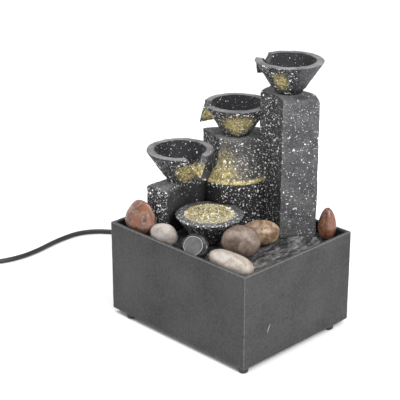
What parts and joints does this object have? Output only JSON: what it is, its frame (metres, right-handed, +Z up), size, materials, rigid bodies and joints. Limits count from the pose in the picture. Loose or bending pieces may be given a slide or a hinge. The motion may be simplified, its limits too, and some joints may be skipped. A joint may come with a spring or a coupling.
{
  "type": "tabletop water fountain",
  "caption": "Tabletop fountain: a cast tower with pouring bowls stands among pebbles in a slate-look basin, with a small pump and power cord.",
  "frame": {"origin": "middle of the footprint of basin and tower, on the table under the feet", "axes": "+Z up, -Y out of the wide front face, +X to the right seen from the front"},
  "size_m": [0.382, 0.2994, 0.2575],
  "materials": {
    "slate_finish": "dark slate-look resin, fine brushed texture",
    "foot_rubber": "plain black rubber",
    "dark_rock": "streaked dark rock",
    "speckled_cast": "near-black cast stone with white speckles and dry-brushed grey edges",
    "gilded_cast": "cast stone, speckled, with patches of gold paint",
    "clear_tube": "milky soft tube",
    "pump_plastic": "black moulded plastic",
    "potted_coil": "potted winding",
    "sponge": "open foam",
    "magnet": "sintered ferrite",
    "impeller_plastic": "off-white moulded plastic",
    "shaft_ceramic": "polished ceramic",
    "pump_rubber": "soft black rubber",
    "cord_jacket": "black satin cord jacket",
    "pin_metal": "plated metal",
    "rust_stone": "polished river stone",
    "sand_stone": "polished river stone",
    "black_stone": "polished river stone",
    "white_stone": "polished river stone",
    "taupe_stone": "polished river stone",
    "tan_stone": "polished river stone",
    "wine_stone": "polished river stone"
  },
  "bodies": {
    "basin": {"basin": "slate_finish", "basin_feet": "foot_rubber", "deck_posts": "pump_plastic", "cable_grommet": "pump_rubber", "pump_housing": "pump_plastic", "pump_back_cap": "pump_plastic", "pump_stator": "potted_coil", "chamber_lid": "pump_plastic", "filter_sponge": "sponge", "intake_cover": "pump_plastic", "rotor_shaft": "shaft_ceramic", "shaft_bushes": "pump_rubber", "suction_cups": "pump_rubber", "outlet_nozzle": "pump_plastic", "pump_lead": "cord_jacket", "strain_relief": "cord_jacket", "power_cord": "cord_jacket", "cord_coil": "cord_jacket", "cord_tie": "cord_jacket", "plug_body": "cord_jacket", "plug_pins": "pin_metal"},
    "tower": {"rock_deck": "dark_rock", "pillar": "speckled_cast", "mid_tier": "speckled_cast", "low_tier": "speckled_cast", "cascade_column": "gilded_cast", "top_bowl": "gilded_cast", "middle_bowl": "gilded_cast", "lower_bowl": "gilded_cast", "catch_bowl": "gilded_cast", "riser_tube": "clear_tube", "water_outlet": "pump_plastic"},
    "impeller": {"rotor_magnet": "magnet", "impeller": "impeller_plastic"},
    "flow_dial": {"flow_dial": "pump_plastic"},
    "pebble_rust": {"pebble_rust": "rust_stone"},
    "pebble_sand": {"pebble_sand": "sand_stone"},
    "pebble_black": {"pebble_black": "black_stone"},
    "pebble_white": {"pebble_white": "white_stone"},
    "pebble_taupe": {"pebble_taupe": "taupe_stone"},
    "pebble_tan": {"pebble_tan": "tan_stone"},
    "pebble_wine": {"pebble_wine": "wine_stone"}
  },
  "joints": [
    {"name": "tower_lift", "type": "slide", "parent": "basin", "child": "tower", "axis": [0, 0, 1], "range_m": [0, 0.12]},
    {"name": "impeller_spin", "type": "hinge", "parent": "basin", "child": "impeller", "pos_m": [0.02198, 0.04831, 0.029], "axis": [1, 0, 0], "continuous": true},
    {"name": "flow_dial_turn", "type": "hinge", "parent": "basin", "child": "flow_dial", "pos_m": [0.02198, 0.04831, 0.029], "axis": [1, 0, 0], "range_deg": [0, 90]},
    {"name": "rust_pebble_lift", "type": "slide", "parent": "tower", "child": "pebble_rust", "axis": [0, 0, 1], "range_m": [0, 0.025]},
    {"name": "sand_pebble_lift", "type": "slide", "parent": "tower", "child": "pebble_sand", "axis": [0, 0, 1], "range_m": [0, 0.025]},
    {"name": "black_pebble_lift", "type": "slide", "parent": "tower", "child": "pebble_black", "axis": [0, 0, 1], "range_m": [0, 0.025]},
    {"name": "white_pebble_lift", "type": "slide", "parent": "tower", "child": "pebble_white", "axis": [0, 0, 1], "range_m": [0, 0.025]},
    {"name": "taupe_pebble_lift", "type": "slide", "parent": "tower", "child": "pebble_taupe", "axis": [0.4198, -0.12, 0.8996], "range_m": [0, 0.025]},
    {"name": "tan_pebble_lift", "type": "slide", "parent": "tower", "child": "pebble_tan", "axis": [0.36, 0.28, 0.89], "range_m": [0, 0.025]},
    {"name": "wine_pebble_lift", "type": "slide", "parent": "tower", "child": "pebble_wine", "axis": [0, 0, 1], "range_m": [0, 0.025]}
  ]
}
